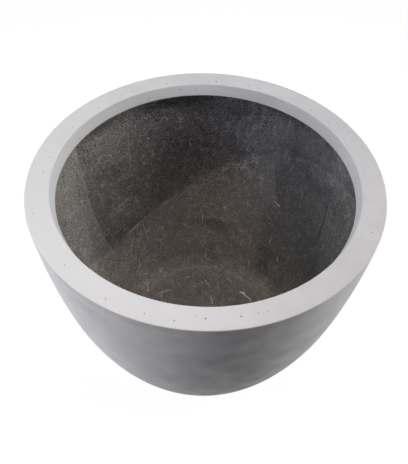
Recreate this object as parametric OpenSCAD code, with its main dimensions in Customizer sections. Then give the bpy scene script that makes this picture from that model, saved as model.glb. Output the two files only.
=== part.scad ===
// Round bowl planter in glass-fibre-reinforced concrete: a smooth moulded cement skin with a wide
// undercut rim, backed inside by a hand-laid laminate, with a rubber bung in its drain hole.
// Millimetres, +Z up. The origin is the centre of the base, on the ground.
// Every layer is the same outline, drawn further inward: three arcs that meet without a kink.

/* [Outline] */
// Outside diameter at the rim
rim_d = 500; // [460:10:620]
// Height from the ground to the top of the rim
height = 388; // [300:4:480]
// Diameter of the flat part of the base
base_d = 234; // [160:4:280]
// Radius of the rounded edge between the base and the wall
base_edge_r = 50; // [36:1:70]
// Lean of the wall from upright, in degrees, where it meets the rim
rim_lean = 2; // [1:0.5:4]
// Radius of the arc of the upper wall
upper_arc_r = 1200; // [1000:20:2000]
// Depth below the rim at which the upper arc hands over to the lower one
arc_join_depth = 160; // [80:5:190]

/* [Layers] */
// Thickness of the smooth face coat
face_t = 5; // [4:0.5:8]
// Thickness of the glass-fibre backing
backing_t = 6; // [4:0.5:10]
// Thickness of the mats laid on the backing
mat_t = 2; // [1:0.25:3]

/* [Rim] */
// Width of the flat top of the rim
rim_w = 33; // [30:1:50]
// Depth of the rim's inner face, from the top to its lower edge
lip_depth = 19; // [14:1:30]
// How far the inner face runs inward over that depth
lip_run = 5.5; // [2:0.5:9]
// Radius of the cove between the rim's underside and the wall
cove_r = 14; // [6:1:16]
// Radius of the rim's outer edge
rim_edge_r = 1.5; // [1:0.5:4]
// Radius of the edge between the rim's top and its inner face
ridge_r = 2; // [1:0.5:4]
// Radius of the lower edge of the rim's inner face
lip_edge_r = 1; // [0.5:0.25:1.5]

/* [Mats] */
// Bearings of the seams between the wall mats, in degrees from the back towards +X
seam_bearings = [-106, -65, -38, 0, 35, 71, 118, 165, 210];
// Width of a seam where the bowl is widest
seam_w = 1.2; // [0.8:0.1:3]
// How far the wall mats turn in over the flat of the floor
mat_turn = 4; // [0:1:30]

/* [Base and drain] */
// Width of the ring that the planter stands on
foot_w = 22; // [12:1:40]
// Depth of the recess inside the foot ring
foot_recess = 2.5; // [1:0.5:3.5]
// Diameter of the drain hole
drain_d = 25; // [16:1:40]

/* [Plug] */
// Gap all round between the plug's fins and the drain hole
plug_gap = 0.3; // [0.2:0.05:0.6]
// How far the plug's head reaches past the drain hole, all round
head_lap = 5.5; // [3:0.5:10]
// Thickness of the plug's head
head_t = 4; // [3:0.5:7]
// Radius of the upper edge of the plug's head
head_edge_r = 1.5; // [0.5:0.25:2]
// Wall of the hollow shank, at the root of its fins
shank_wall = 3; // [2:0.25:4]
// Thickness of the closed bottom of the shank
shank_floor = 3; // [2:0.5:5]
// How far the fins stand out from the shank
fin_h = 1.7; // [1:0.1:2.5]
// Number of fins round the shank
fin_count = 3; // [2:1:4]
// Height of the plug's lower end above the ground
plug_lift = 1.5; // [0.5:0.5:3]

/* [Hidden] */
$fn = 64;

past = 1; // how far a cut reaches past the face it opens
proud = 0.01; // how far an arc stands proud of the next where they meet, so that they cross
arc_steps = 256; // steps of the outline's large circles, and of a turn about the axis

// Outline: an upper arc, a lower arc and the rounded base edge, each tangent to the next
rim_r = rim_d / 2;
upper_c = [rim_r - upper_arc_r * cos(rim_lean), height + upper_arc_r * sin(rim_lean)];
join_angle = asin(sin(rim_lean) + arc_join_depth / upper_arc_r);
join_dir = [cos(join_angle), -sin(join_angle)];
join_point = upper_c + upper_arc_r * join_dir;
base_c = [base_d / 2, base_edge_r];
reach = join_point - base_c;
lower_arc_r = (reach * reach - base_edge_r ^ 2) / (2 * (reach * join_dir - base_edge_r));
lower_c = join_point - lower_arc_r * join_dir;
base_angle = atan2(lower_c[1] - base_c[1], base_c[0] - lower_c[0]);

// Layers, as distances inward from the outside face
backing_at = face_t;
mats_at = backing_at + backing_t;
inside_at = mats_at + mat_t;

// Rim: its inner face leans, and the cove under it ends on top of the wall mats
ridge = [rim_r - rim_w, height];
lip_low = ridge - [lip_run, lip_depth];
lip_slope = lip_run / lip_depth;
lip_skin = face_t * sqrt(1 + lip_slope ^ 2);
cove_c_z = height - lip_depth - cove_r;
cove_c = [wall_r(cove_c_z, inside_at) - cove_r, cove_c_z];

floor_mat_r = base_d / 2 - mat_turn;
drain_r = drain_d / 2;

// Height at which an outline t inward passes from its upper arc to its lower one
function join_z(t) = upper_c[1] - (upper_arc_r - t) * sin(join_angle);

// Height at which it passes from its lower arc to the base edge
function base_z(t) = lower_c[1] - (lower_arc_r - t) * sin(base_angle);

// Radius, at height z, of an arc about c
function arc_x(c, r, z) = c[0] + sqrt(r * r - (z - c[1]) ^ 2);

// Radius of the outline t inward, at height z
function wall_r(z, t) =
    z > join_z(t) ? arc_x(upper_c, upper_arc_r - t, z)
    : z > base_z(t) ? arc_x(lower_c, lower_arc_r - t, z)
    : arc_x(base_c, base_edge_r - t, z);

// A half section turned about the planter's axis, all the way or through part of a turn
module turned(from = 0, sweep = 360) {
    rotate_extrude(start = from, angle = sweep, $fn = arc_steps) children();
}

// Half section of everything inside the outline t inward, up to the height top
module inside_outline(t, top = height) {
    intersection() {
        translate([0, t]) square([rim_d, top - t]);
        translate(upper_c) circle(upper_arc_r - t, $fn = arc_steps);
        union() {
            translate([0, join_z(t)]) square([rim_d, top]);
            intersection() {
                translate(lower_c) circle(lower_arc_r - t + proud, $fn = arc_steps);
                union() {
                    translate([0, base_z(t)]) square([rim_d, top]);
                    square([base_c[0], top]);
                    translate(base_c) circle(base_edge_r - t + proud);
                }
            }
        }
    }
}

// Half section of the layer between two depths from the outside face
module layer(from, to, top) {
    difference() {
        inside_outline(from, top);
        inside_outline(to, top + past);
    }
}

// Half section of the rim, outward of its inner face, with its skin left off to the depth t
module rim_block(t) {
    skin = lip_skin * t / face_t;
    top = height - t;
    intersection() {
        inside_outline(t, top);
        polygon([
            [lip_low[0] + skin, lip_low[1]],
            [rim_r, lip_low[1]],
            [rim_r, top],
            [ridge[0] - lip_slope * t + skin, top],
        ]);
    }
}

// What comes off a corner at p to round it to radius r, where its sides leave p along u and v
module corner_cut(p, u, v, r) {
    inward = (u + v) / norm(u + v);
    half_angle = acos(u * inward);
    c = p + inward * r / sin(half_angle);
    back = r / tan(half_angle);
    difference() {
        polygon([c, p + u * back, p - inward * r, p + v * back]);
        translate(c) circle(r + proud);
    }
}

// What comes off the rim's outer edge, where the flat top meets the arc of the wall
module rim_edge_cut() {
    c_z = height - rim_edge_r;
    c = [arc_x(upper_c, upper_arc_r - rim_edge_r, c_z), c_z];
    outward = (c - upper_c) / norm(c - upper_c);
    difference() {
        polygon([c, c + rim_edge_r * outward, [rim_r + past, height + past], [c[0], height]]);
        translate(c) circle(rim_edge_r + proud);
    }
}

// The three rounded edges of the rim
module rim_edges() {
    down_face = (lip_low - ridge) / norm(lip_low - ridge);
    rim_edge_cut();
    corner_cut(ridge, [1, 0], down_face, ridge_r);
    corner_cut(lip_low, [1, 0], -down_face, lip_edge_r);
}

// The drain hole, through every layer
module drain_cut() {
    square([drain_r, inside_at + past]);
}

// The recess in the underside, with a drafted edge
module foot_cut() {
    edge = base_d / 2 - foot_w;
    polygon([[0, 0], [edge, 0], [edge - foot_recess, foot_recess], [0, foot_recess]]);
}

// Smooth moulded skin: base, wall, top of the rim and the rim's inner face
module face_coat() {
    color("darkgray") turned() difference() {
        union() {
            layer(0, face_t, height);
            difference() {
                rim_block(0);
                rim_block(face_t);
            }
        }
        rim_edges();
        foot_cut();
        drain_cut();
    }
}

// Mix packed between the rim's inner face and the backing, with a coved underside
module rim_core() {
    color("dimgray") turned() difference() {
        intersection() {
            inside_outline(mats_at, height - face_t);
            union() {
                rim_block(face_t);
                translate(cove_c) square([rim_r, cove_r]);
            }
        }
        translate(cove_c) circle(cove_r);
    }
}

// Continuous glass-fibre laminate behind the face coat
module backing_shell() {
    color("gray") turned() difference() {
        layer(backing_at, mats_at, height - face_t);
        drain_cut();
    }
}

// One cut mat, laid on the backing between two seams, from the floor to the rim's core
module wall_mat(i) {
    last = i == len(seam_bearings);
    from = seam_bearings[i - 1];
    to = last ? seam_bearings[0] + 360 : seam_bearings[i];
    seam_angle = seam_w / rim_r * 180 / PI;
    color("darkslategray")
        turned(90 - to + seam_angle / 2, to - from - seam_angle)
            difference() {
                layer(mats_at, inside_at, cove_c_z);
                square([floor_mat_r, inside_at + past]);
            }
}

// Round mat on the floor, inside the ends of the wall mats
module floor_mat() {
    color("slategray") translate([0, 0, mats_at]) turned()
        translate([drain_r, 0]) square([floor_mat_r - drain_r, mat_t]);
}

// Rubber bung: a flat head on the floor mat, and a hollow finned shank down the drain hole
module drain_plug() {
    fin_r = drain_r - plug_gap;
    root_r = fin_r - fin_h;
    head_r = drain_r + head_lap;
    shank_l = inside_at - plug_lift;
    pitch = shank_l / fin_count;
    head_top = inside_at + head_t;
    color("black") turned() difference() {
        union() {
            translate([0, inside_at]) square([head_r, head_t]);
            translate([0, plug_lift]) square([root_r, shank_l]);
            for (i = [0:fin_count - 1])
                translate([0, plug_lift + i * pitch])
                    polygon([[0, 0], [root_r, 0], [fin_r, pitch * 0.6], [fin_r, pitch * 0.8],
                        [root_r, pitch * 0.8], [0, pitch * 0.8]]);
        }
        corner_cut([head_r, head_top], [-1, 0], [0, -1], head_edge_r);
        translate([0, plug_lift + shank_floor]) square([root_r - shank_wall, head_top]);
    }
}

face_coat();
rim_core();
backing_shell();
floor_mat();
drain_plug();
for (i = [1:len(seam_bearings)])
    wall_mat(i);
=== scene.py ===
"""Round bowl planter in glass-fibre-reinforced concrete, dressed round its CAD frame.

Metres, +Z up, +Y away from the camera, the origin at the centre of the base. A bearing is in
radians from the back (+Y) towards +X. A section is a run of (radius, height) points. Only the
tables of places are in degrees and millimetres.
"""

from math import acos, asin, atan2, ceil, cos, dist, hypot, pi, radians, sin, tan

import bmesh
import bpy
import numpy as np
from mathutils import Matrix, Vector, noise


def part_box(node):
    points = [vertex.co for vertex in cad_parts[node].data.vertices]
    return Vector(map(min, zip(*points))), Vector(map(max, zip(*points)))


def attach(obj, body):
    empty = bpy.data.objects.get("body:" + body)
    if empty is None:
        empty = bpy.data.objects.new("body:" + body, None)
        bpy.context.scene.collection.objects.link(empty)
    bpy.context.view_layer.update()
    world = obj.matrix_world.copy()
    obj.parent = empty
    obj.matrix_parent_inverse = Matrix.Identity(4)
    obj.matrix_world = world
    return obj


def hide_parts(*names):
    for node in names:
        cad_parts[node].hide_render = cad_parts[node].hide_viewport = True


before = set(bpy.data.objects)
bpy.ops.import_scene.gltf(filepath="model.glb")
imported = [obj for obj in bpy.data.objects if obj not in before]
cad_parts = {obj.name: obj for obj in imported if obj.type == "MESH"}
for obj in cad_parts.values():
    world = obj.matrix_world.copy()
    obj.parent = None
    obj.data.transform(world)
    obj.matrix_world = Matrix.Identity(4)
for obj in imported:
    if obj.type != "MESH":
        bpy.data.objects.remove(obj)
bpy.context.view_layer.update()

# Outline, as in the CAD source: an upper arc, a lower arc and the rounded base edge
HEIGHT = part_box("face_coat")[1][2]
RIM_R = 0.250
BASE_R = 0.117
BASE_EDGE_R = 0.050
RIM_LEAN = radians(2.0)
UPPER_ARC_R = 1.200
ARC_JOIN_DEPTH = 0.160

# Layers, inward from the outside face
FACE_T = 0.005
MATS_AT = 0.011
INSIDE_AT = 0.013

# Rim, base and drain
RIM_W = 0.033
LIP_DEPTH = 0.019
LIP_RUN = 0.0055
COVE_R = 0.014
RIM_EDGE_R = 0.0015
RIDGE_R = 0.002
LIP_EDGE_R = 0.001
FOOT_W = 0.022
FOOT_RECESS = 0.0025
DRAIN_R = 0.0125
FLOOR_MAT_R = 0.113
COVE_Z = HEIGHT - LIP_DEPTH - COVE_R

# Seams between the wall mats. Each swings a little to one side of its bearing above a height and
# to the other side below it: degrees, height and the height over which it changes over.
SEAM_BEARINGS = [radians(a) for a in (-106, -65, -38, 0, 35, 71, 118, 165, 210)]
SEAM_SWINGS = ((1, 200, 80), (-1.3, 260, 50), (-1.8, 260, 60), (2.4, 60, 40), (6, 230, 70),
               (4.5, 200, 70), (-2, 200, 100), (1.5, 150, 100), (-1.5, 200, 100))
SEAM_W = 0.0012
SEAMS = len(SEAM_BEARINGS)

# Grids: points round the face coat, steps of the grids, the coarser steps behind the mats, and the
# distance from the axis at which a mat's width is counted
AROUND = 384
SKIN_STEP = 0.004
HIDDEN_STEP = 0.014
MAT_STEP = 0.003
BACK_EVERY = 4
WALL_R = 0.8 * RIM_R

# How far down the wall from the rim's cove most pits lie
PITTED_BAND = 0.14

MM = 0.001
TURN = 2 * pi

rng = np.random.default_rng(7)


# ---- sections

def arc(centre, radius, start, end, step):
    """Points of an arc, ends included, about step apart."""
    count = max(2, ceil(abs(end - start) * radius / step) + 1)
    angles = np.linspace(start, end, count)
    return np.stack([centre[0] + radius * np.cos(angles), centre[1] + radius * np.sin(angles)], 1)


def line(start, end, step):
    """Points of a straight run, ends included, about step apart."""
    count = max(2, ceil(dist(start, end) / step) + 1)
    return np.linspace(start, end, count)


def chain(*runs):
    """Runs of points end to end, without the points that they share."""
    points = [runs[0]]
    for run in runs[1:]:
        points.append(run[1:] if np.allclose(run[0], points[-1][-1], atol=1e-5) else run)
    return np.concatenate(points)


upper_c = (RIM_R - UPPER_ARC_R * cos(RIM_LEAN), HEIGHT + UPPER_ARC_R * sin(RIM_LEAN))
join_angle = asin(sin(RIM_LEAN) + ARC_JOIN_DEPTH / UPPER_ARC_R)
join_dir = np.array([cos(join_angle), -sin(join_angle)])
join_point = upper_c + UPPER_ARC_R * join_dir
base_c = np.array([BASE_R, BASE_EDGE_R])
reach = join_point - base_c
lower_arc_r = (reach @ reach - BASE_EDGE_R ** 2) / (2 * (reach @ join_dir - BASE_EDGE_R))
lower_c = join_point - lower_arc_r * join_dir
base_angle = atan2(lower_c[1] - base_c[1], base_c[0] - lower_c[0])


def outline(depth, top, step):
    """Section of the outline, depth inward, from the flat of the base up to the height top."""
    return chain(
        arc(base_c, BASE_EDGE_R - depth, -pi / 2, -base_angle, step),
        arc(lower_c, lower_arc_r - depth, -base_angle, -join_angle, step),
        arc(upper_c, UPPER_ARC_R - depth, -join_angle,
            asin((top - upper_c[1]) / (UPPER_ARC_R - depth)), step))


def unit(way):
    return np.array(way) / np.linalg.norm(way)


def rounded(corner, along_in, along_out, radius, step):
    """Arc that rounds a corner, from the side that leaves it along along_in to the other side."""
    along_in, along_out = unit(along_in), unit(along_out)
    inward = unit(along_in + along_out)
    half = acos(along_in @ inward)
    centre = corner + inward * radius / sin(half)
    back = radius / tan(half)
    first = corner + along_in * back - centre
    last = corner + along_out * back - centre
    start = atan2(first[1], first[0])
    turn = (atan2(last[1], last[0]) - start + pi) % TURN - pi
    return arc(centre, radius, start, start + turn, step)


def skin_section():
    """Closed section of the moulded face coat, and how many of its points are on show."""
    edge_step = 0.0006
    ridge = np.array([RIM_R - RIM_W, HEIGHT])
    lip_low = ridge - [LIP_RUN, LIP_DEPTH]
    lip_skin = FACE_T * hypot(1, LIP_RUN / LIP_DEPTH)
    foot_in = (BASE_R - FOOT_W, 0)
    recess_edge = (BASE_R - FOOT_W - FOOT_RECESS, FOOT_RECESS)
    edge_z = HEIGHT - RIM_EDGE_R
    edge_start = asin((edge_z - upper_c[1]) / (UPPER_ARC_R - RIM_EDGE_R))
    edge_c = (upper_c[0] + (UPPER_ARC_R - RIM_EDGE_R) * cos(edge_start), edge_z)
    wall_top = upper_c[1] + UPPER_ARC_R * sin(edge_start)
    edge = arc(edge_c, RIM_EDGE_R, edge_start, pi / 2, edge_step)
    ridge_round = rounded(ridge, (1, 0), lip_low - ridge, RIDGE_R, edge_step)
    lip_round = rounded(lip_low, ridge - lip_low, (1, 0), LIP_EDGE_R, edge_step / 2)
    shown = chain(
        line((DRAIN_R, FOOT_RECESS), recess_edge, SKIN_STEP),
        line(recess_edge, foot_in, SKIN_STEP / 2),
        line(foot_in, (BASE_R, 0), SKIN_STEP),
        outline(0, wall_top, SKIN_STEP),
        edge,
        line(edge[-1], ridge_round[0], SKIN_STEP),
        ridge_round,
        line(ridge_round[-1], lip_round[0], SKIN_STEP / 2),
        lip_round,
        line(lip_round[-1], lip_low + [lip_skin, 0], SKIN_STEP / 2))
    behind_lip = ridge + [lip_skin - LIP_RUN * FACE_T / LIP_DEPTH, -FACE_T]
    inner = outline(FACE_T, HEIGHT - FACE_T, HIDDEN_STEP)[::-1]
    hidden = chain(
        line(shown[-1], behind_lip, SKIN_STEP)[1:],
        line(behind_lip, inner[0], SKIN_STEP),
        inner,
        line(inner[-1], (DRAIN_R, FACE_T), HIDDEN_STEP))
    return np.concatenate([shown, hidden]), len(shown)


# Section of the bowl's inside, from the drain over the floor and up to the cove, and the distance
# of each of its points from its start, along it
FINE_STEP = 0.0005
FINE = chain(line((DRAIN_R, INSIDE_AT), (BASE_R, INSIDE_AT), FINE_STEP),
             outline(INSIDE_AT, COVE_Z, FINE_STEP))
FINE_S = np.append(0, np.cumsum(np.linalg.norm(np.diff(FINE, axis=0), axis=1)))

FLOOR_MAT_S = FLOOR_MAT_R - DRAIN_R
TOP_S = FINE_S[-1]


def radius_at(s):
    """Distance from the axis of the bowl's inside, at a distance s from the drain along it."""
    return np.interp(s, FINE_S, FINE[:, 0])


def height_at(s):
    return np.interp(s, FINE_S, FINE[:, 1])


def inside(s, bearing):
    """Point on the bowl's inside and the normal that points into the bowl. Takes arrays."""
    s, bearing = np.broadcast_arrays(s, bearing)
    run, rise = (at(s + MM) - at(s - MM) for at in (radius_at, height_at))
    size = np.hypot(run, rise)
    return turned(radius_at(s), height_at(s), bearing), turned(-rise / size, run / size, bearing)


def turned(radius, height, bearing):
    """(radius, height) turned to a bearing, as x, y, z."""
    radius, height, bearing = np.broadcast_arrays(radius, height, bearing)
    return np.stack([radius * np.sin(bearing), radius * np.cos(bearing), height], -1)


# ---- surfaces

def lumps(points, size, seed):
    """Smooth noise at each point, about -1 to 1, with lumps about size metres across."""
    shift = Vector((seed, 1.7 * seed, 2.3 * seed))
    flat = points.reshape(-1, 3)
    values = [noise.noise(Vector(p) / size + shift) for p in flat]
    return np.array(values).reshape(points.shape[:-1])


def seam_at(index, s):
    """Bearing of a seam at each distance s from the drain."""
    swing, changes_at, over = SEAM_SWINGS[index]
    return SEAM_BEARINGS[index] + radians(swing) * np.tanh((changes_at - height_at(s) / MM) / over)


def mat_number(s, bearing):
    """Which wall mat, from 0, lies at each distance and bearing."""
    first = seam_at(0, s)
    past = [(bearing - first) % TURN >= (seam_at(k, s) - first) % TURN
            for k in range(1, SEAMS)]
    return np.sum(past, axis=0)


def laid_height(points, number):
    """How far the hand-laid surface stands proud of the true one. number is the mat's."""
    apart = 0.7 * np.asarray(number, float)[..., None]
    return (0.00045 * lumps(points + apart, 0.045, 3.0)
            + 0.00040 * lumps(points, 0.016, 11.0)
            + 0.00022 * lumps(points, 0.006, 19.0))


def grid_quads(rows, columns, wrap_rows=False, wrap_columns=False):
    """Corner numbers of a grid's quads, as an array of rows, columns and 4."""
    i = np.arange(rows if wrap_rows else rows - 1)[:, None]
    j = np.arange(columns if wrap_columns else columns - 1)[None, :]
    i2, j2 = (i + 1) % rows, (j + 1) % columns
    return np.stack(np.broadcast_arrays(
        i * columns + j, i2 * columns + j, i2 * columns + j2, i * columns + j2), -1)


# A pit's rings, from its mouth down: share of its radius, and depth as a share of its radius
PIT_RINGS = ((1.0, 0.0), (0.93, 0.45), (0.70, 1.0), (0.35, 1.35))
PIT_FLOOR = 1.45

# The grid points round a pit, in order, and its cells, as steps of row and column from its middle
PIT_STEPS = ((-1, -1), (0, -1), (1, -1), (1, 0), (1, 1), (0, 1), (-1, 1), (-1, 0))
PIT_CELLS = ((-1, -1), (-1, 0), (0, -1), (0, 0))


def let_in_pits(points, normals, quads, sites):
    """Lets round pits into a grid. Each site is (row, column, radius, shift along the column's
    and the row's way). Returns all vertices, the faces, and for each vertex whether it lies down
    in a pit."""
    rows, columns = points.shape[:2]
    count = rows * columns
    normals = np.broadcast_to(normals, points.shape)
    open_cells = np.ones(quads.shape[:2], bool)
    extra, deep, pit_faces, used = [], [], [], set()
    for i, j, radius, shift_i, shift_j in sites:
        around = [(i + a, (j + b) % columns) for a, b in PIT_STEPS]
        taken = {*around, (i, j)}
        if used & taken:
            continue
        used |= taken
        for a, b in PIT_CELLS:
            open_cells[i + a, (j + b) % quads.shape[1]] = False
        normal = unit(normals[i, j])
        centre = (points[i, j] + (points[i + 1, j] - points[i - 1, j]) * shift_i
                  + (points[i, (j + 1) % columns] - points[i, j - 1]) * shift_j)
        spokes = np.array([points[place] for place in around]) - centre
        spokes -= (spokes @ normal)[:, None] * normal
        spokes /= np.linalg.norm(spokes, axis=1)[:, None]
        last = [a * columns + b for a, b in around]
        for share, depth in PIT_RINGS:
            start = count + len(extra)
            now = list(range(start, start + len(around)))
            extra.extend(centre + spokes * radius * share - normal * radius * depth)
            deep.extend([depth > 0] * len(around))
            pit_faces += zip(last, last[1:] + last[:1], now[1:] + now[:1], now)
            last = now
        bottom = count + len(extra)
        pit_faces += [(a, b, bottom) for a, b in zip(last, last[1:] + last[:1])]
        extra.append(centre - normal * radius * PIT_FLOOR)
        deep.append(True)
    vertices = np.concatenate([points.reshape(-1, 3), np.array(extra).reshape(-1, 3)])
    faces = quads[open_cells].reshape(-1, 4).tolist() + pit_faces
    return vertices, faces, np.concatenate([np.zeros(count), deep])


def pit_sites(count, rows, columns, small, large):
    """Random places for pits: rows and columns are what to pick from, or how many, and small and
    large the least and greatest radius in millimetres."""
    return [(int(rng.choice(rows)), int(rng.choice(columns)),
             (small + (large - small) * rng.random() ** 3) * MM,
             rng.uniform(-0.12, 0.12), rng.uniform(-0.12, 0.12)) for _ in range(count)]


def placed_sites(holes, rows, along, columns):
    """Sites of holes that have a place of their own: (bearing, place along the rows, radius). rows
    are those to use, and along is each row's place, rising or falling."""
    order = np.argsort(along)
    sites = []
    for bearing, at, radius in holes:
        row = np.interp(at * MM, along[order], rows[order])
        column = bearing % 360 / 360 * columns
        sites.append((round(row), round(column) % columns, radius * MM,
                      (row - round(row)) / 2, (column - round(column)) / 2))
    return sites


# Edges that turn more than this stay sharp
SHARP_ANGLE = radians(42)


def set_attributes(mesh, **attributes):
    """Stores one number per vertex under each name, for the mesh's material."""
    for name, values in attributes.items():
        layer = mesh.attributes.new(name, "FLOAT", "POINT")
        layer.data.foreach_set("value", np.asarray(values, np.float32))


def add_object(name, data):
    thing = bpy.data.objects.new(name, data)
    bpy.context.collection.objects.link(thing)
    return thing


def finish_mesh(name, vertices, faces, material, stands_for=(), deep=()):
    """Makes the mesh object, with its faces turned outward, and gives it to the frame."""
    mesh = bpy.data.meshes.new(name)
    mesh.from_pydata([tuple(v) for v in vertices], [], faces)
    if len(deep):
        set_attributes(mesh, deep=deep)
    work = bmesh.new()
    work.from_mesh(mesh)
    loose = [v for v in work.verts if not v.link_faces]
    bmesh.ops.delete(work, geom=loose, context="VERTS")
    bmesh.ops.recalc_face_normals(work, faces=work.faces)
    work.to_mesh(mesh)
    work.free()
    mesh.shade_smooth()
    mesh.set_sharp_from_angle(angle=SHARP_ANGLE)
    mesh.materials.append(material)
    piece = add_object(name, mesh)
    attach(piece, "bowl")
    if stands_for:
        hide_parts(*stands_for)
    return piece


# ---- materials

def feed(node, sockets):
    """Gives a node's inputs, by name or number, each a value or another node's output."""
    for name, value in sockets.items():
        if isinstance(value, bpy.types.NodeSocket):
            node.id_data.links.new(value, node.inputs[name])
        elif value is not None:
            node.inputs[name].default_value = value


def add_node(tree, kind, sockets, **settings):
    """Adds a node with its settings and inputs."""
    node = tree.nodes.new("ShaderNode" + kind)
    for name, value in settings.items():
        setattr(node, name, value)
    feed(node, sockets)
    return node


class Look:
    """A node material with a Principled shader, and short calls for its nodes."""

    def __init__(self, name, roughness, specular):
        self.material = bpy.data.materials.new(name)
        self.material.use_nodes = True
        self.tree = self.material.node_tree
        self.shader = self.tree.nodes["Principled BSDF"]
        feed(self.shader, {"Roughness": roughness, "Specular IOR Level": specular})
        self.place = self.node("TexCoord", {}).outputs["Object"]

    def node(self, kind, sockets, **settings):
        return add_node(self.tree, kind, sockets, **settings)

    def noise(self, size, detail=2.0, roughness=0.5, distortion=0.0, at=None):
        """Noise with lumps about size metres across, from 0 to 1."""
        return self.node("TexNoise", {
            "Vector": at or self.place, "Scale": 1 / size, "Detail": detail, "Roughness": roughness,
            "Distortion": distortion}).outputs["Fac"]

    def cells(self, size):
        """Distance to the nearest of random points about size metres apart, in that unit, and a
        random number from 0 to 1 that each point has."""
        cells = self.node("TexVoronoi", {"Vector": self.place, "Scale": 1 / size})
        parts = self.node("SeparateColor", {"Color": cells.outputs["Color"]})
        return cells.outputs["Distance"], parts.outputs["Red"]

    def moved(self, *shift):
        """The object's coordinates, shifted, so that two noises of one size differ."""
        return self.node("VectorMath", {0: self.place, 1: shift}).outputs[0]

    def times(self, vector, factor):
        """A colour or place times numbers or an output."""
        return self.node("VectorMath", {0: vector, 1: factor}, operation="MULTIPLY").outputs[0]

    def math(self, operation, *values):
        return self.node("Math", dict(enumerate(values)), operation=operation).outputs["Value"]

    def product(self, first, second):
        return self.math("MULTIPLY", first, second)

    def ramp(self, value, low, high, to_low=0.0, to_high=1.0):
        """value from low..high spread over to_low..to_high, clamped and eased."""
        return self.node("MapRange", {
            "Value": value, "From Min": low, "From Max": high, "To Min": to_low,
            "To Max": to_high}, interpolation_type="SMOOTHSTEP").outputs["Result"]

    def attribute(self, name):
        return self.node("Attribute", {}, attribute_name=name).outputs["Fac"]

    def mix(self, factor, first, second):
        """Colour from first, at a factor of 0, to second. Each is a colour or an output. Inputs 6
        and 7 and output 2 are the node's colours."""
        first, second = [(*c, 1) if isinstance(c, tuple) else c for c in (first, second)]
        return self.node("Mix", {0: factor, 6: first, 7: second}, data_type="RGBA").outputs[2]

    def layers(self, colour, *coats):
        """A colour under coats of others. Each coat is its share and its colour."""
        for share, coat in coats:
            colour = self.mix(share, colour, coat)
        return colour

    def bump(self, height, distance, after=None):
        """Normals of a height, on top of those of another bump."""
        return self.node("Bump", {"Height": height, "Distance": distance,
                                  "Normal": after}).outputs["Normal"]

    def finished(self, base, normal, roughness=None):
        """The material, with its colour, normals and roughness on the shader."""
        feed(self.shader, {"Base Color": base, "Normal": normal, "Roughness": roughness})
        return self.material


# Scales of the coordinates that draw a noise out into upright streaks
UPRIGHT = (1, 1, 0.12)


def concrete_material():
    """Smooth satin moulded cement: faintly clouded, with fine grain, worn edges, pale scuffs, and
    painted light and shade.
    """
    look = Look("moulded_concrete", 0.6, 0.35)
    cloud = look.noise(0.09, detail=3.0, distortion=0.6)
    patch = look.noise(0.028, detail=3.0, at=look.moved(3, 1, 2))
    grain = look.noise(0.0016)
    streak = look.noise(0.012, at=look.times(look.place, UPRIGHT))
    base = look.layers(
        (0.552, 0.548, 0.558),
        (look.ramp(cloud, 0.3, 0.7), (0.616, 0.610, 0.615)),
        (look.ramp(patch, 0.52, 0.72, 0, 0.22), (0.49, 0.49, 0.51)),
        (look.ramp(grain, 0.35, 0.65, 0, 0.10), (0.47, 0.47, 0.48)),
        (look.ramp(streak, 0.42, 0.70, 0, 0.16), (0.48, 0.48, 0.49)),
        (look.attribute("worn"), (0.58, 0.52, 0.44)),
        # Painted light with pale scuffs, painted light and reflection on the rim's inner face, painted
        # shade
        (look.attribute("bloom"), (0.80, 0.80, 0.80)),
        (look.attribute("lip_bloom"), (0.785, 0.79, 0.81)),
        (look.attribute("dull"), (0.40, 0.40, 0.41)),
        # The pits' insides painted dark: painted shade
        (look.product(look.attribute("deep"), 0.85), (0.07, 0.065, 0.075)))
    normal = look.bump(patch, 0.00010, after=look.bump(grain, 0.00006))
    return look.finished(base, normal, look.ramp(patch, 0.3, 0.7, 0.50, 0.66))


# How tightly the fine hairs curl, one value to a layer of them
HAIR_CURLS = (0.010, 0.014, 0.019, 0.012)

# How far apart the spots are where a pore may lie
PORES_APART = 0.0046


def hair_lines(look):
    """Where the fine hairs of glass run: thin curling lines, torn into short lengths."""
    hairs = 0.0
    for index, size in enumerate(HAIR_CURLS):
        field = look.noise(size, detail=1.5, distortion=0.8,
                           at=look.moved(index * 4.0, index * 2.0, index * 6.0))
        apart = look.math("ABSOLUTE", look.math("SUBTRACT", field, 0.5))
        torn = look.noise(0.013, detail=0.0, at=look.moved(9, index * 3.0, 1))
        thin = look.product(look.ramp(apart, 0.004, 0.018, 1.0, 0.0), look.ramp(torn, 0.48, 0.60))
        hairs = look.math("MAXIMUM", hairs, thin)
    return hairs


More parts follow.
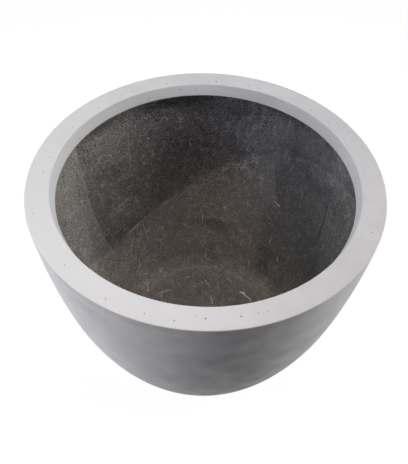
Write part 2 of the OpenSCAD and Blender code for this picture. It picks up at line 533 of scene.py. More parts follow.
def felt_material(name, toned):
    """Chopped glass strands wetted with dark cement: fine pale hairs on a mottled ground. A toned one
    takes from the mesh its tone with painted light and shade, a painted tint of the light, a painted
    highlight in the cove, coarseness, streaks, and pores and pits painted near-black as painted shade."""
    look = Look(name, 0.85, 0.2)
    drift = look.noise(0.12, at=look.moved(5, 2, 7))
    blot = look.noise(0.022, detail=4.0, roughness=0.6)
    grain = look.noise(0.0016, detail=1.0)
    hairs = hair_lines(look)
    bold = look.ramp(look.attribute("coarse"), 0, 1, 1.0, 1.75)
    ground = look.layers(
        (0.132, 0.127, 0.125),
        (look.ramp(drift, 0.35, 0.65), (0.165, 0.153, 0.144)),
        (look.ramp(blot, 0.42, 0.72, 0, 0.45), (0.225, 0.209, 0.195)),
        (look.product(look.ramp(grain, 0.52, 0.74, 0, 0.62), bold), (0.360, 0.340, 0.318)),
        (look.product(look.ramp(grain, 0.47, 0.28, 0, 0.64), bold), (0.045, 0.042, 0.042)),
        (look.product(look.product(hairs, 0.55), bold), (0.44, 0.42, 0.395)))
    if toned:
        # A painted highlight along the cove round the floor
        ground = look.mix(look.attribute("pale"), ground, (0.30, 0.278, 0.257))
        upright = look.noise(0.006, detail=1.0, at=look.times(look.place, UPRIGHT))
        streaks = look.product(look.attribute("combed"), look.ramp(upright, 0.38, 0.66, -0.14, 0.22))
        # The painted colour of the light, warmer or cooler by place
        tint = look.mix(look.attribute("cool"), (1.05, 1.0, 0.88), (0.91, 1.0, 1.22))
        # The tone carries painted light and shade
        for factor in (look.math("ADD", streaks, 1.0), look.attribute("tone"), tint):
            ground = look.times(ground, factor)
        # Pores and pits painted near-black: painted shade in the holes
        apart, number = look.cells(PORES_APART)
        chosen = look.ramp(look.math("SUBTRACT", look.attribute("porous"), number), -0.02, 0.02)
        pores = look.product(look.ramp(apart, 0.24, 0.34, 1.0, 0.0), chosen)
        pits = look.product(look.attribute("deep"), 0.8)
        ground = look.mix(look.math("MAXIMUM", pores, pits), ground, (0.016, 0.016, 0.017))
    return look.finished(ground, look.bump(hairs, 0.0003, after=look.bump(grain, 0.0006)))


def plain_material(name, colour, spread, size, roughness, specular, bump=0.0001, toned=False):
    """One colour with a mottle: spread is its second colour, size the mottle's. A toned one takes
    its tone, with painted light and shade, from the mesh."""
    look = Look(name, roughness, specular)
    mottle = look.noise(size, detail=3.0)
    base = look.mix(look.ramp(mottle, 0.3, 0.7), colour, spread)
    if toned:
        base = look.times(base, look.attribute("tone"))
    return look.finished(base, look.bump(look.noise(size / 4), bump))


concrete = concrete_material()
felt = felt_material("wetted_glass_mat", True)
laminate = felt_material("glass_laminate", False)
paste = plain_material("cement_paste", (0.56, 0.535, 0.51), (0.76, 0.73, 0.70), 0.004, 0.8, 0.2, 0.0004)
glass = plain_material("glass_strand", (0.74, 0.71, 0.67), (0.90, 0.87, 0.83), 0.006, 0.5, 0.4)
loose = plain_material("loose_strand", (0.26, 0.245, 0.23), (0.46, 0.435, 0.405), 0.010, 0.6, 0.3,
                       toned=True)
coated = plain_material("coated_strand", (0.17, 0.160, 0.150), (0.40, 0.378, 0.352), 0.012, 0.7, 0.3,
                        toned=True)
rubber = plain_material("black_rubber", (0.022, 0.022, 0.023), (0.034, 0.034, 0.034), 0.01, 0.6, 0.4)


# ---- pieces

def chain_of(table):
    """The rows of all of a table's groups, in order."""
    return [row for group in table.values() for row in group]


def vertex_array(piece):
    places = np.empty(len(piece.data.vertices) * 3, np.float32)
    piece.data.vertices.foreach_get("co", places)
    return places.reshape(-1, 3).astype(float)


def polar(places):
    """Bearing, distance from the axis and height of each place."""
    x, y, z = places.T
    return np.arctan2(x, y), np.hypot(x, y), z


def away_from(places, spot):
    """How many millimetres each place is away from a spot."""
    return np.linalg.norm(places - spot, axis=1) / MM


def beyond(value, start, over):
    """0 up to start and 1 past it, changing over a span, which is below 0 if 1 lies below start."""
    return np.clip((value - start) / over, 0, 1)


def bell(value, middle, reach):
    """1 in the middle, falling off smoothly to both sides."""
    return np.exp(-((value - middle) / reach) ** 2)


def section_normals(section):
    """Unit normals of a closed section, to the right of its way."""
    way = np.roll(section, -1, 0) - np.roll(section, 1, 0)
    way /= np.linalg.norm(way, axis=1)[:, None]
    return np.stack([way[:, 1], -way[:, 0]], 1)


def moulded_face():
    """The face coat, with pinholes and a faintly uneven skin."""
    section, shown = skin_section()
    bearings = np.arange(AROUND) * TURN / AROUND
    points = turned(section[:, :1], section[:, 1:], bearings)
    out = section_normals(section)
    normals = turned(out[:, :1], out[:, 1:], bearings)
    sag = 0.00008 * lumps(points, 0.09, 31.0) + 0.00004 * lumps(points, 0.014, 37.0) - 0.00013
    sag[shown:] = 0
    sag[section[:, 1] < 1e-6] = 0
    points = points + normals * sag[..., None]
    radius, height = section[:shown].T
    lip = ((radius < RIM_R - RIM_W - 0.001) & (height > HEIGHT - LIP_DEPTH + 0.002)
           & (height < HEIGHT - 0.003))
    rows = {"top": np.flatnonzero(height > HEIGHT - 1e-5)[2:-2],
            "lip": np.flatnonzero(lip)[1:-1],
            "wall": np.flatnonzero((radius > BASE_R + 0.004) & (height < HEIGHT - 0.008))[1:-1],
            "under": np.flatnonzero((height == FOOT_RECESS) & (radius > 0.03))[1:-1]}
    sites = (placed_sites(RIM_PINHOLES, rows["top"], radius[rows["top"]], AROUND)
             + placed_sites(LIP_PINHOLES, rows["lip"], HEIGHT - height[rows["lip"]], AROUND))
    for part, (count, small, large) in FACE_PINHOLES.items():
        sites += pit_sites(count, rows[part], AROUND, small, large)
    quads = grid_quads(len(section), AROUND, wrap_rows=True, wrap_columns=True)
    vertices, faces, deep = let_in_pits(points, normals, quads, sites)
    face_attributes(finish_mesh("moulded_face", vertices, faces, concrete, ("face_coat",), deep))


def face_attributes(piece):
    """Stores where the face coat is worn, its painted light with pale scuffs, the painted light on the
    rim's inner face, and painted shade.
    """
    places = vertex_array(piece)
    bearing, radius, z = polar(places)
    ragged = lumps(places, 0.006, 43.0)
    front = np.maximum(-np.cos(bearing), 0)
    from_edge = np.hypot(radius - RIM_R, z - HEIGHT + 0.0012) / (WORN_W + 0.0012 * front)
    worn = np.clip(1 - from_edge + 0.5 * ragged, 0, 1) * (0.45 + 0.22 * front)
    on_rim = beyond(z, HEIGHT - LIP_DEPTH, 0.002) * beyond(radius, RIM_R - 0.0005, -0.001)
    on_lip = on_rim * beyond(radius, RIM_R - RIM_W + 0.0003, -0.001)
    # Painted light: the rim's top paler than the wall, most towards the front left and less on its
    # inner face, with painted shade at one side
    toward = np.cos(bearing - RIM_LIGHT_BEARING)
    bloom = (on_rim * (0.30 + 0.26 * toward + 0.38 * np.maximum(toward, 0) ** 2)
             - RIM_SHADE_AMOUNT * on_rim * bell(bearing, RIM_SHADE_BEARING, 0.5) - 0.15 * on_lip)
    # Painted light and reflection along the rim's inner face, with a gap, and painted shade beyond it
    start, end = LIP_LIGHT_SPAN
    lip_bloom = (on_lip * beyond(bearing, start, 0.45) * beyond(bearing, end, -0.45)
                 * (LIP_LIGHT_AMOUNT - LIP_LIGHT_GAP_AMOUNT * bell(bearing, LIP_LIGHT_GAP_BEARING, 0.25)))
    lip_dull = LIP_SHADE_AMOUNT * on_lip * bell(bearing, LIP_SHADE_BEARING, 0.4)
    for at, from_axis, size in SCUFFS:
        apart = away_from(places, turned(from_axis * MM, HEIGHT, radians(at)))
        bloom = np.maximum(bloom, np.clip(1.2 - apart / size + 0.8 * ragged, 0, 0.85))
    # Painted light and shade on the outside wall
    painted_wall_light_and_shade = np.zeros(len(places))
    for at, height, reach, share in OUTSIDE_LIGHT_AND_SHADE:
        apart = away_from(places, turned(RIM_R, height * MM, radians(at)))
        painted_wall_light_and_shade += (1 - on_rim) * share * bell(apart, 0, reach)
    set_attributes(piece.data, worn=worn, lip_bloom=lip_bloom, bloom=np.maximum(bloom, painted_wall_light_and_shade),
                   dull=np.maximum(-painted_wall_light_and_shade, 0) + lip_dull)


# Random pinholes in each part of the face coat: how many, and the least and greatest radius
FACE_PINHOLES = {"top": (50, 0.3, 0.6), "lip": (25, 0.3, 0.6), "wall": (110, 0.3, 0.7),
                 "under": (60, 0.4, 1.2)}

# Pinholes that stand out on the rim's top: bearing, distance from the axis, and radius
RIM_PINHOLES = ((-172.5, 239, 0.8), (179, 233, 0.9), (169, 233, 0.9), (164, 233, 0.7),
                (161, 233, 0.7), (-80, 239, 0.8), (-83, 227, 0.8), (-91, 229, 0.8),
                (-50, 223, 0.8), (-65, 225, 0.7), (-110, 240, 0.7), (-38, 228, 0.9),
                (-33, 228, 0.9), (-30, 234, 0.7), (-18, 226, 1), (-24, 237, 0.7), (0, 224, 1),
                (3, 221, 1.4), (17, 223, 0.9), (21, 223, 0.8), (46, 221, 0.9), (56, 221, 0.9),
                (61, 240, 0.9), (73, 241, 0.8), (114, 237, 0.8), (-152, 239, 0.8),
                (-164, 238, 0.8), (-174.5, 240, 0.6), (-134, 235, 0.6))

# And on the rim's inner face: bearing, depth below the top, and radius
LIP_PINHOLES = ((-66, 14, 1), (-27, 12, 1), (-13, 6, 0.8), (-6, 8, 0.8), (2, 11, 0.6),
                (13, 5, 0.7))

# How wide the worn edge of the rim is at the back. It is wider in front
WORN_W = 0.0028

# Where the painted light on the rim's top is strongest, and where and by how much painted shade darkens
# it
RIM_LIGHT_BEARING = radians(-145)
RIM_SHADE_BEARING, RIM_SHADE_AMOUNT = radians(137), 0.16

# Painted light and reflection on the rim's inner face: from where to where and how strong, a gap in it,
# and where and how strong the painted shade beyond it is
LIP_LIGHT_SPAN, LIP_LIGHT_AMOUNT = (radians(-128), radians(24)), 0.80
LIP_LIGHT_GAP_BEARING, LIP_LIGHT_GAP_AMOUNT = radians(-55), 0.15
LIP_SHADE_BEARING, LIP_SHADE_AMOUNT = radians(40), 0.28

# Pale scuffs on the rim: bearing, distance from the axis, and size
SCUFFS = ((-117, 236, 7), (-115, 229, 5), (-120, 240, 5))

# Painted light and shade on the outside wall: bearing, height, reach, and how pale, or below 0 how dark
OUTSIDE_LIGHT_AND_SHADE = ((143, 345, 60, 0.32), (-165, 320, 55, 0.18), (-145, 235, 60, 0.3),
               (170, 180, 60, -0.42), (176, 305, 35, -0.25))

# How pale each wall mat is, partly its cement's own tone and partly painted light and shade, in the
# same order as the seams they begin at
MAT_TONES = (2.3, 1.55, 1.35, 1.45, 0.95, 1.05, 1.2, 1.5, 1.9)
FLOOR_TONE = 1.2

# Between which heights the tone steps at each seam, partly painted light and shade where a lit stretch
# of the wall meets a seam. Elsewhere one mat's blends into the next's
STEP_HEIGHTS = ((100, 360), (130, 360), (0, 0), (0, 0), (170, 250), (165, 260), (100, 300),
                (100, 300), (100, 300))

# Painted light and shade on the mats, and a darker and a paler patch by a mat's corner: bearing and
# height of the middle, reach to the sides and up and down the wall, and how many times as pale it is
# there
MAT_LIGHT_AND_SHADE = {
    "corner_of_a_mat": ((48, 52, 19, 26, 0.68), (60, 20, 35, 12, 1.35)),
    "shadowed_under_the_rim": (
        (14, 350, 34, 10, 0.66), (30, 350, 55, 12, 0.58), (-47, 341, 50, 11, 0.5),
        (-27, 337, 36, 12, 0.55)),
    "dull_left": (
        (-66, 262, 16, 45, 0.86), (-53, 250, 35, 18, 0.78), (-55, 176, 16, 12, 0.84),
        (-57, 121, 18, 10, 0.7)),
    "dull_back": (
        (16, 326, 28, 14, 0.66), (12, 318, 36, 14, 0.8), (-8, 252, 45, 45, 0.78),
        (-18, 222, 32, 18, 0.82), (-20, 180, 30, 30, 0.82), (3, 88, 34, 9, 0.62),
        (12, 78, 28, 14, 0.76), (2, 26, 35, 10, 0.8), (-2, 17, 30, 8, 0.8)),
    "dull_right": (
        (42, 345, 30, 18, 0.76), (41, 285, 13, 45, 0.7), (49, 272, 18, 22, 0.76),
        (62, 258, 58, 20, 0.74), (31, 252, 16, 16, 0.78), (81, 132, 24, 22, 0.8),
        (41, 125, 20, 42, 0.76), (78, 120, 50, 45, 0.72), (44, 74, 18, 12, 0.78)),
    "lit_left": (
        (-50, 318, 40, 18, 1.1), (-82, 195, 30, 50, 1.22), (-50, 172, 30, 13, 1.3),
        (-84, 156, 30, 26, 1.5), (-42, 150, 30, 22, 1.22), (-84, 98, 30, 30, 1.28),
        (-52, 72, 70, 34, 1.2), (-49, 40, 30, 12, 1.2), (-60, 28, 60, 18, 1.25),
        (-55, 16, 35, 12, 1.25)),
    "lit_back": ((-11, 310, 16, 15, 1.35), (24, 264, 30, 14, 1.22), (20, 222, 40, 20, 1.12)),
    "lit_right": ((68, 335, 22, 18, 1.26), (66, 310, 55, 34, 1.34)),
}

# Open holes in the floor mat: bearing, distance from the axis, and radius
FLOOR_HOLES = ((56, 82, 1.8), (-28, 97, 1))

# Where open pores crowd under the rim: bearing, height and reach
PORE_CLUSTERS = ((-56, 312, 26), (-40, 322, 18), (-31, 322, 22), (-22, 330, 24), (-3, 332, 34),
                 (14, 330, 30), (27, 322, 26), (-90, 250, 22), (150, 300, 60))

# The share of the spots where a pore may lie that are open: low down, high up and in a cluster
FEW_PORES, MORE_PORES, CROWDED_PORES = 0.015, 0.060, 0.60

# Where the felt is coarsest, where a comb has drawn it upward, and where the light is painted coolest:
# bearing, reach to both sides, the height that it starts from, and over how much it grows
FELT_ZONES = {"coarse": (-12, 42, 140, 80), "combed": (24, 20, 270, 30), "coolest_light": (12, 42, 190, 130)}

# The painted tint of the light where it is neutral, and how much cooler it is painted in the coolest
# zone
PLAIN_LIGHT_TINT = 0.355
COOL_LIGHT_TINT = 0.48

# And how much more or less in others: the share, and the bearing and the height that the zone
# starts from, each with its span
LIGHT_TINT_ZONES = {"right": (0.24, 15, 15, 80, 60), "upper_right": (-0.216, 15, 15, 270, 50),
              "right_of_the_floor": (-0.20, -10, 20, 70, -30), "left": (-0.07, -35, -15, 100, 50)}

# A painted highlight along the cove round the floor: distance from the axis, half its width, and
# strength
COVE_HIGHLIGHT = (120.3, 3, 0.62)

# Over how much height the tone changes at the end of a step, and above the floor
STEP_SPAN = 0.02
FLOOR_SPAN = 0.05

# Middle bearing of each wall mat
MAT_MIDDLES = [start + (end - start) % TURN / 2
               for start, end in zip(SEAM_BEARINGS, SEAM_BEARINGS[1:] + SEAM_BEARINGS[:1])]


def inside_spot(bearing, height):
    """Place on the bowl's inside wall, from a bearing in degrees and a height in millimetres."""
    return turned(np.interp(height * MM, FINE[:, 1], FINE[:, 0]), height * MM, radians(bearing))


def tone_at(places, number):
    """How pale the cement is at each place, with painted light and shade. number is the wall mat's, or
    below 0 for no step.
    """
    bearing, _, z = polar(places)
    blended = np.interp(bearing, MAT_MIDDLES, MAT_TONES, period=TURN)
    away = (bearing[:, None] - SEAM_BEARINGS + pi) % TURN - pi
    low, high = np.array(STEP_HEIGHTS)[np.abs(away).argmin(1)].T * MM
    step = beyond(z, low - STEP_SPAN / 2, STEP_SPAN) * beyond(z, high + STEP_SPAN / 2, -STEP_SPAN)
    step = np.where((number < 0) | (high == 0), 0, step)
    tone = blended + step * (np.array(MAT_TONES)[number] - blended)
    tone = FLOOR_TONE + (tone - FLOOR_TONE) * beyond(z, INSIDE_AT, FLOOR_SPAN)
    broad = lumps(places, 0.05, 51.0)
    # Painted light and shade
    for at, height, aside, up, change in chain_of(MAT_LIGHT_AND_SHADE):
        turn = radians(at)
        apart = places - inside_spot(at, height)
        along = apart[:, 0] * cos(turn) - apart[:, 1] * sin(turn)
        rest = np.maximum((apart ** 2).sum(1) - along ** 2, 0)
        spread = (along / (aside * MM)) ** 2 + rest / (up * MM) ** 2
        tone = tone * (1 + (change - 1) * np.exp(-spread * (1 + 0.4 * broad)))
    return tone


def mat_attributes(piece, number):
    """Stores the tone of the cement with painted light and shade, the painted tint of the light, how
    coarse and how combed it is, a painted highlight in the cove round the floor, and the open pores
    under the rim."""
    places = vertex_array(piece)
    bearing, radius, z = polar(places)
    degrees, radius_mm, z_mm = np.degrees(bearing), radius / MM, z / MM
    line_r, half_w, strength = COVE_HIGHLIGHT
    # A painted highlight in the cove, on the back half
    cove = (np.clip(1.3 - np.abs(radius_mm - line_r) / half_w, 0, 1) * (z_mm < 30)
            * np.clip(1.6 - np.abs(bearing), 0, 1) * np.clip(0.85 + lumps(places, 0.05, 51.0), 0, 1))
    zones = {name: beyond(z_mm, low, span) * bell(degrees, at, reach)
             for name, (at, reach, low, span) in FELT_ZONES.items()}
    # The painted colour of the light, cooler or warmer by place
    tint = PLAIN_LIGHT_TINT + COOL_LIGHT_TINT * zones["coolest_light"]
    for share, at, turn, low, span in LIGHT_TINT_ZONES.values():
        tint = tint + share * beyond(degrees, at, turn) * beyond(z_mm, low, span)
    porous = FEW_PORES + (MORE_PORES - FEW_PORES) * beyond(z_mm, 200, 100)
    for at, height, reach in PORE_CLUSTERS:
        apart = away_from(places, inside_spot(at, height))
        porous = np.maximum(porous, CROWDED_PORES * np.exp(-(apart / reach) ** 4))
    set_attributes(piece.data, tone=tone_at(places, number), pale=strength * cove,
                   coarse=zones["coarse"], cool=tint, combed=zones["combed"], porous=porous)


def slab(index, front, back, normals, sites):
    """A wall mat's closed mesh: a fine front grid with pits, a coarse back grid and side strips."""
    rows, columns = front.shape[:2]
    quads = grid_quads(rows, columns)[..., ::-1]
    vertices, faces, deep = let_in_pits(front, normals, quads, sites)
    start = len(vertices)
    coarse = back[::BACK_EVERY, ::BACK_EVERY]
    back_rows, back_columns = coarse.shape[:2]
    vertices = np.concatenate([vertices, coarse.reshape(-1, 3)])
    faces += (grid_quads(back_rows, back_columns) + start).reshape(-1, 4).tolist()
    fine_loop = border(rows, columns)
    coarse_loop = [start + k for k in border(back_rows, back_columns)]
    for k in range(len(coarse_loop)):
        fine = [fine_loop[(k * BACK_EVERY + n) % len(fine_loop)] for n in range(BACK_EVERY + 1)]
        faces.append(fine + [coarse_loop[(k + 1) % len(coarse_loop)], coarse_loop[k]])
    deep = np.append(deep, np.zeros(len(vertices) - start))
    mat_attributes(finish_mesh(f"laid_wall_mat_{index + 1}", vertices, faces, felt,
                               (f"wall_mat_{index + 1}",), deep), index)


def border(rows, columns):
    """Numbers of a grid's border points, in order round it."""
    grid = np.arange(rows * columns).reshape(rows, columns)
    return np.concatenate([grid[0, :-1], grid[:-1, -1], grid[-1, :0:-1], grid[:0:-1, 0]]).tolist()


def whole_steps(length):
    """How many grid points span a length, with a whole number of coarse steps between them."""
    return BACK_EVERY * max(1, round(length / MAT_STEP / BACK_EVERY)) + 1


def wall_mat(index):
    """One mat between two seams, with wavy edges, pits and a lumpy face."""
    rows = whole_steps(TOP_S - FLOOR_MAT_S)
    s = np.linspace(FLOOR_MAT_S, TOP_S, rows)[:, None]
    start = seam_at(index, s)
    width = (seam_at((index + 1) % SEAMS, s) - start) % TURN
    columns = whole_steps(np.mean(width) * WALL_R)
    across = np.linspace(0, 1, columns)
    gap = SEAM_W / 2 / RIM_R
    bearing = start + gap + (width - 2 * gap) * across
    fray = 0.0005 * np.abs(lumps(inside(s, bearing)[0], 0.012, 61.0 + index)) / radius_at(s)
    near_edge = beyond(across * columns, 4, -4) - beyond((1 - across) * columns, 4, -4)
    true, normals = inside(s, bearing + fray * near_edge)
    front = true + normals * laid_height(true, index)[..., None]
    back = true - normals * (INSIDE_AT - MATS_AT)
    high = np.flatnonzero(s > TOP_S - PITTED_BAND)
    middle = np.arange(2, columns - 2)
    sites = (pit_sites(columns // 3, high[1:-2], middle, 0.4, 1.4)
             + pit_sites(columns // 8, np.arange(2, rows - 2), middle, 0.5, 1.8))
    slab(index, front, back, normals, sites)


def floor_mat():
    """The round mat on the floor, round the drain hole."""
    rings = 34
    columns = 240
    s = np.linspace(0, FLOOR_MAT_S, rings)[:, None]
    true, normals = inside(s, np.arange(columns) * TURN / columns)
    front = true + normals * laid_height(true, 0)[..., None]
    under = true[[-1, 0]] - [0, 0, INSIDE_AT - MATS_AT]
    points = np.concatenate([front, under])
    quads = grid_quads(rings + 2, columns, wrap_rows=True, wrap_columns=True)
    sites = (placed_sites(FLOOR_HOLES, np.arange(rings), DRAIN_R + s[:, 0], columns)
             + pit_sites(60, np.arange(8, rings - 2), columns, 0.4, 1.2))
    vertices, faces, deep = let_in_pits(points, np.array([0.0, 0.0, 1.0]), quads, sites)
    mat_attributes(finish_mesh("laid_floor_mat", vertices, faces, felt, ("floor_mat",), deep), -1)


# Stretches of a seam where its paste shows as a thin pale ridge: which seam, from which height
# to which, and how wide
SEAM_RIDGES = ((1, 92, 335, 1.7), (2, 205, 340, 1.3), (2, 72, 185, 1.7), (3, 88, 122, 1.2),
               (3, 18, 62, 1.2), (5, 30, 110, 1), (0, 60, 300, 1.3), (7, 100, 330, 1.3))

# Where a seam is left open: which seam, from which height to which, and how deep
SEAM_GROOVE = (5, 165, 245, 1.5)


def along_seam(index, s, half, rise):
    """A low closed strip along a seam: its rings of five points, half wide to each side."""
    bearing = seam_at(index, s)
    true, normals = inside(s, bearing)
    laid = (laid_height(true, index) + laid_height(true, (index - 1) % SEAMS)) / 2
    surface = true + normals * laid[:, None]
    across = np.stack([np.cos(bearing), -np.sin(bearing), 0 * s], 1)
    wander = 0.0004 * lumps(true, 0.02, 71.0 + index)
    shape = ((-1.0, -0.0012, 0), (-0.7, 0, 0.55), (0, 0, 1.0), (0.7, 0, 0.55), (1.0, -0.0012, 0))
    return np.stack([
        surface + across * (half * side + wander)[:, None] + normals * (sink + rise * share)[:, None]
        for side, sink, share in shape], 1)


def seam_fill(index):
    """Wetted mat pressed into a seam, level with the mats beside it."""
    s = np.linspace(FLOOR_MAT_S - 0.002, TOP_S, 200)
    height = height_at(s) / MM
    rise = 0.0001 + 0.0002 * lumps(inside(s, seam_at(index, s))[0], 0.015, 79.0 + index)
    seam, low, high, depth = SEAM_GROOVE
    if index == seam:
        rise = np.where((height > low) & (height < high), rise - depth * MM, rise)
    return along_seam(index, s, 0.0018, rise)


def seam_ridge(index, low, high, width):
    """A stretch of paste squeezed up along a seam."""
    s = np.linspace(*np.interp((low * MM, high * MM), FINE[:, 1], FINE_S), 120)
    places = inside(s, seam_at(index, s))[0]
    ragged = lumps(places, 0.007, 83.0 + index) + 0.7 * lumps(places, 0.003, 89.0 + index)
    taper = np.interp(np.linspace(0, 1, len(s)), (0, 0.1, 0.9, 1), (0.1, 1, 1, 0.1))
    there = taper * np.clip(0.85 + 1.4 * ragged, 0, 1.5)
    return along_seam(index, s, np.maximum(width * MM / 2 * there, 0.00005), -0.0002 + 0.0011 * there)


def prisms(name, corners, material):
    """Closed prisms, from an array of their corners: by prism, ring and corner of the ring."""
    count, rings, sides = corners.shape[:3]
    quads = grid_quads(rings, sides, wrap_columns=True).reshape(-1, 4)
    block = rings * sides
    ends = np.array([range(sides - 1, -1, -1), range(block - sides, block)])
    faces = []
    for base in range(0, count * block, block):
        faces += (quads + base).tolist() + (ends + base).tolist()
    return finish_mesh(name, corners.reshape(-1, 3), faces, material)


def seams():
    """What fills the seams, and the pale ridges of paste on some of them."""
    fill = prisms("seam_fill", np.stack([seam_fill(k) for k in range(SEAMS)]), felt)
    mat_attributes(fill, -1)
    prisms("seam_paste", np.stack([seam_ridge(*ridge) for ridge in SEAM_RIDGES]), paste)


def strand_paths(count, lengths, rings, s_range, curl, low_share, bearings=(-180, 180)):
    """Paths of strands that lie on the inside: s and bearing, as arrays of count and rings. They
    start within the range of bearings, in degrees, and low_share of them crowd near the drain."""
    length = lengths[0] + (lengths[1] - lengths[0]) * rng.random(count) ** 1.5
    step = length / (rings - 1)
    low, high = s_range
    share = rng.random(count)
    drawn = np.where(rng.random(count) < low_share, share ** 2.2, share)
    s = np.empty((count, rings))
    bearing = np.empty((count, rings))
    s[:, 0] = low + (high - low) * drawn
    bearing[:, 0] = rng.uniform(*np.radians(bearings), count)
    heading = rng.uniform(0, TURN, count)
    bend = rng.normal(0, curl, count)
    for k in range(1, rings):
        heading = heading + bend * step + rng.normal(0, 0.10, count)
        s[:, k] = np.clip(s[:, k - 1] + step * np.cos(heading), low, high)
        bearing[:, k] = bearing[:, k - 1] + step * np.sin(heading) / radius_at(s[:, k])
    return s, bearing


def lay_strands(name, s, bearing, widths, proud, material):
    """Strands as flat three-sided prisms that follow the laid surface."""
    true, normals = inside(s, bearing)
    surface = true + normals * (laid_height(true, mat_number(s, bearing)) + proud)[..., None]
    way = np.gradient(surface, axis=1)
    side = np.cross(way, normals)
    side /= np.maximum(np.linalg.norm(side, axis=-1, keepdims=True), 1e-9)
    taper = np.interp(np.linspace(0, 1, s.shape[1]), (0, 0.15, 0.85, 1), (0.35, 1, 1, 0.35))
    half = (widths[:, None] * taper / 2)[..., None]
    low = surface - normals * 0.3 * half
    corners = np.stack([low - side * half, low + side * half, surface + normals * 0.7 * half], 2)
    piece = prisms(name, corners, material)
    number = np.where(s > FLOOR_MAT_S, mat_number(s, bearing), -1)
    # The strands take the tone beneath them, painted light and shade included
    set_attributes(piece.data, tone=tone_at(vertex_array(piece), np.repeat(number, 3)))


# The strands that stand out: bearing and distance from the drain of each end, and width
BRIGHT_STRANDS = {
    "back": ((-19, 446, -18, 433, 1.2), (-4.9, 393, -3, 388, 0.8)),
    "left": (
        (-53.5, 246, -49.9, 246, 1.5), (-50.4, 234, -39.8, 242, 0.8),
        (-40.9, 264, -42.3, 250, 0.9), (-33.2, 188, -30.2, 184, 1.2)),
    "front_left": ((-78.3, 259, -86.5, 271, 1.3), (-76.7, 247, -73.5, 233, 0.8)),
    "cove_left": (
        (-51.4, 172, -55, 157, 1.1), (-53.6, 138, -51, 133, 1.4), (-58.3, 130, -57.6, 117, 0.9),
        (-57.6, 117, -63.7, 109, 1.3)),
    "floor": (
        (-60.6, 89, -45.8, 74, 1.3), (-58.1, 82, -64.3, 76, 1), (-34, 81, -32.2, 72, 1),
        (-21.9, 86, -15.7, 87, 1.2), (1.1, 77, 11.3, 60, 1), (17.9, 39, 32.9, 21, 1.4),
        (19.8, 71, 25.3, 61, 0.6)),
    "middle": ((-1.7, 226, -1.2, 204, 0.7), (-0.8, 242, 1.6, 241, 0.9)),
    "right": (
        (38.6, 295, 42.9, 291, 1.4), (41.9, 369, 43.3, 386, 0.8), (45.6, 207, 45.1, 221, 0.9),
        (57.1, 190, 55.2, 200, 1), (37.5, 258, 41.4, 254, 0.6)),
    "floor_right": (
        (25.7, 94, 36.3, 86, 0.8), (53.2, 85, 67.9, 91, 2.4), (49.8, 84, 56.5, 89, 3.8)),
}

# Bundles of straight fine strands: bearing and distance from the drain of each end, how far they
# stray to the sides, and how many
STRAND_BUNDLES = {
    "level": (-63, 292, -38, 298, 7, 11),
    "level_low": (-62, 257, -40, 248, 5, 6),
    "level_high": (-55, 335, -47, 336, 4, 4),
    "rising": (-58, 207, -47, 220, 4, 5),
    "past_the_seam": (-40, 244, -27, 246, 3, 5),
    "rising_to_the_middle": (-28, 253, -14, 274, 6, 5),
}

# A strand that curls into a ring: bearing, distance from the drain, and radius
RING_STRAND = (11.6, 244, 2.6)


def bundled_paths(rings):
    """Paths of the strands of all bundles, each a straight part of its bundle's run."""
    s, bearing = [], []
    for start, start_s, end, end_s, stray, count in STRAND_BUNDLES.values():
        for _ in range(count):
            first = rng.uniform(0, 0.6)
            run = np.linspace(first, first + rng.uniform(0.25, 0.4), rings)
            bearing.append(np.radians(start + (end - start) * run))
            s.append(start_s + (end_s - start_s) * run + rng.uniform(-stray, stray))
    return np.array(s) * MM, np.array(bearing)


def glass_strands():
    """The strands that stand out, loose fainter ones, and many that are half bedded in cement."""
    start, start_s, end, end_s, widths = np.array(chain_of(BRIGHT_STRANDS)).T[..., None]
    share = np.linspace(0, 1, 9)
    bow = np.sin(pi * share) * rng.uniform(-0.0020, 0.0020, len(start))[:, None]
    bow = bow + np.sin(2 * pi * share) * rng.uniform(-0.0012, 0.0012, len(start))[:, None]
    bearing = np.radians(start + (end - start) * share)
    s = (start_s + (end_s - start_s) * share) * MM + bow
    at, around, radius = RING_STRAND
    turn = np.linspace(0, 5.4, len(share))
    s = np.vstack([s, (around + radius * np.cos(turn)) * MM])
    bearing = np.vstack([bearing, radians(at) + radius * MM * np.sin(turn) / 0.2])
    lay_strands("bright_strands", s, bearing, np.append(widths * MM, 0.0011), 0.0004, glass)
    s, bearing = bundled_paths(len(share))
    lay_strands("bundled_strands", s, bearing, rng.uniform(0.00035, 0.0007, len(s)), 0.0002, loose)
    s, bearing = strand_paths(200, (0.008, 0.030), 9, (0.02, TOP_S - 0.004), 30, 0.4)
    lay_strands("loose_strands", s, bearing, rng.uniform(0.00025, 0.0006, len(s)), 0.0002, loose)
    s, bearing = strand_paths(520, (0.008, 0.024), 12, (0.26, TOP_S - 0.006), 110, 0.0, (-68, 25))
    lay_strands("curled_strands", s, bearing, rng.uniform(0.00035, 0.0008, len(s)), 0.0002, loose)
    s, bearing = strand_paths(7000, (0.010, 0.030), 8, (0.015, TOP_S - 0.002), 75, 0.0)
    lay_strands("bedded_strands", s, bearing, rng.uniform(0.00015, 0.00042, len(s)),
                rng.uniform(-0.00005, 0.00012, len(s))[:, None], coated)


def dress_cad():
    """Finishes of the CAD nodes that keep their own meshes."""
    for name, material in (("rim_core", laminate), ("backing_shell", laminate),
                           ("drain_plug", rubber)):
        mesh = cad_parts[name].data
        mesh.materials.clear()
        mesh.materials.append(material)


# ---- stage

# The camera, solved from the photograph
CAMERA_AT = (0, -0.56575, HEIGHT + 0.54225)
CAMERA_PITCH = radians(49.62)
CAMERA_YAW = radians(-0.06)
CAMERA_ROLL = radians(1.76)
FOCAL_PX = 555
IMAGE_LONG_PX = 464


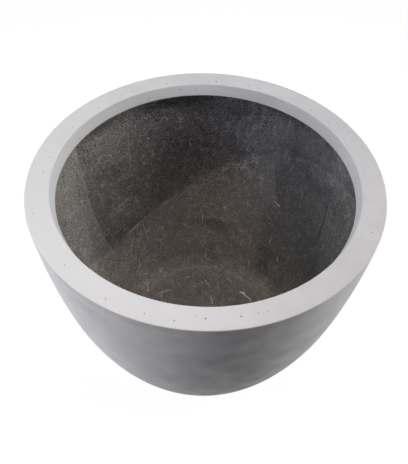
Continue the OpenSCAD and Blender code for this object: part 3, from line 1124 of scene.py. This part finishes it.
def make_camera():
    data = bpy.data.cameras.new("camera")
    data.lens = FOCAL_PX / IMAGE_LONG_PX * data.sensor_width
    data.clip_start = 0.01
    camera = add_object("camera", data)
    camera.matrix_world = (Matrix.Translation(CAMERA_AT)
                           @ Matrix.Rotation(pi / 2 - CAMERA_PITCH, 4, "X")
                           @ Matrix.Rotation(-CAMERA_YAW, 4, "Y")
                           @ Matrix.Rotation(CAMERA_ROLL, 4, "Z"))
    bpy.context.scene.camera = camera


# Panel lamps: bearing and elevation in degrees and distance, all from the middle of the bowl, the
# width and height of the panel, watts and colour
LAMPS = {
    "key": (-54, 77.5, 1.5, 0.015, 0.015, 6.5, (1.0, 0.89, 0.80)),
    "left": (-107, 15, 1.6, 0.5, 0.9, 17.5, (0.94, 0.94, 1.0)),
    "left_high": (-90, 48, 1.8, 0.5, 0.5, 3.3, (0.61, 0.81, 1.0)),
    "right": (86, 15, 1.6, 0.5, 0.9, 11.6, (1.0, 1.0, 0.94)),
    "right_high": (90, 33, 1.8, 0.5, 0.5, 5.5, (0.91, 0.97, 1.0)),
    "front": (133, 64, 1.8, 0.26, 0.3, 3.7, (1.0, 0.88, 0.92)),
    "back": (0, 50, 1.6, 0.3, 0.3, 4.2, (0.77, 0.88, 1.0)),
}


def make_lamps():
    """Makes the lamps, each pointed at the middle of the bowl."""
    for name, (bearing, elevation, distance, width, height, watts, colour) in LAMPS.items():
        data = bpy.data.lights.new(name, "AREA")
        data.shape = "RECTANGLE"
        data.size = width
        data.size_y = height
        data.energy = watts
        data.color = colour
        lamp = add_object(name, data)
        a, e = radians(bearing), radians(elevation)
        back = Vector((sin(a) * cos(e), cos(a) * cos(e), sin(e)))
        lamp.location = Vector((0, 0, HEIGHT / 2)) + back * distance
        lamp.rotation_mode = "QUATERNION"
        lamp.rotation_quaternion = (-back).to_track_quat("-Z", "Y")


def background(tree, output, white, otherwise):
    """Shows white to the camera and in gloss, and leaves the light on the object as it is."""
    rays = add_node(tree, "LightPath", {}).outputs
    seen = rays["Is Camera Ray"]
    for kind in ("Is Glossy Ray", "Is Transmission Ray"):
        seen = add_node(tree, "Math", {0: seen, 1: rays[kind]}, operation="MAXIMUM").outputs[0]
    mix = add_node(tree, "MixShader", {0: seen, 1: otherwise.outputs[0], 2: white.outputs[0]})
    feed(tree.nodes[output], {"Surface": mix.outputs[0]})


def make_world():
    """A world that gives no light and shows white behind the object."""
    world = bpy.data.worlds.new("studio")
    world.use_nodes = True
    bpy.context.scene.world = world
    tree = world.node_tree
    feed(tree.nodes["Background"], {"Strength": 0.0})
    white = add_node(tree, "Background", {"Color": (1, 1, 1, 1)})
    background(tree, "World Output", white, tree.nodes["Background"])


# The floor: the colour that lights the object back, the glow and the shaded white that the camera
# sees, and half its width
FLOOR_COLOUR = (0.235, 0.235, 0.245, 1)
FLOOR_GLOW = 0.95
FLOOR_WHITE = (0.10, 0.10, 0.10, 1)
FLOOR_HALF = 6.0


def make_floor():
    """A plain pale floor that shows white round the object and keeps its shadow."""
    look = Look("floor", 1.0, 0.0)
    tree = look.tree
    feed(look.shader, {"Base Color": FLOOR_COLOUR})
    glow = look.node("Emission", {"Strength": FLOOR_GLOW})
    shaded = look.node("BsdfDiffuse", {"Color": FLOOR_WHITE})
    both = look.node("AddShader", {0: glow.outputs[0], 1: shaded.outputs[0]})
    background(tree, "Material Output", both, look.shader)
    corners = [(x * FLOOR_HALF, y * FLOOR_HALF, 0) for x, y in ((-1, -1), (1, -1), (1, 1), (-1, 1))]
    mesh = bpy.data.meshes.new("floor")
    mesh.from_pydata(corners, [], [(0, 1, 2, 3)])
    mesh.materials.append(look.material)
    add_object("floor", mesh)


def main():
    bpy.context.scene.view_settings.view_transform = "Standard"
    make_camera()
    make_world()
    make_floor()
    make_lamps()
    moulded_face()
    for index in range(SEAMS):
        wall_mat(index)
    floor_mat()
    seams()
    glass_strands()
    dress_cad()


main()
